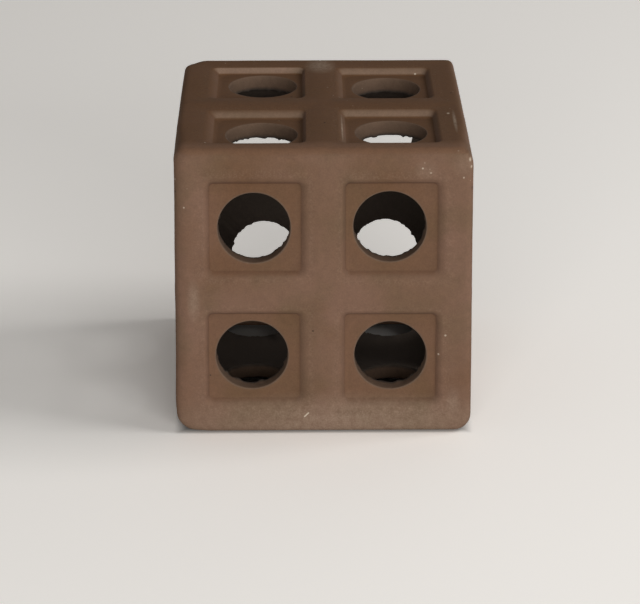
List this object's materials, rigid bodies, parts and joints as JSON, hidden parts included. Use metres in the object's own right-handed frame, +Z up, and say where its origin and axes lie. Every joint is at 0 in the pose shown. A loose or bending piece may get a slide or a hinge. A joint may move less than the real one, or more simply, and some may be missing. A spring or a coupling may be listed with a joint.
{
  "type": "ceramic breeze block",
  "caption": "Hollow fired-clay cube with rounded edges; every face has square recesses pierced by round vents that let air and light through a screen wall.",
  "frame": {"origin": "centre of the bed face, on the surface that the block stands on", "axes": "+Z up, -Y towards the viewer (the face seen in front), +X to the viewer's right"},
  "size_m": [0.1386, 0.14, 0.14],
  "materials": {
    "fired_clay": "matte unglazed"
  },
  "bodies": {
    "root": {"breeze_block": "fired_clay"}
  },
  "joints": []
}
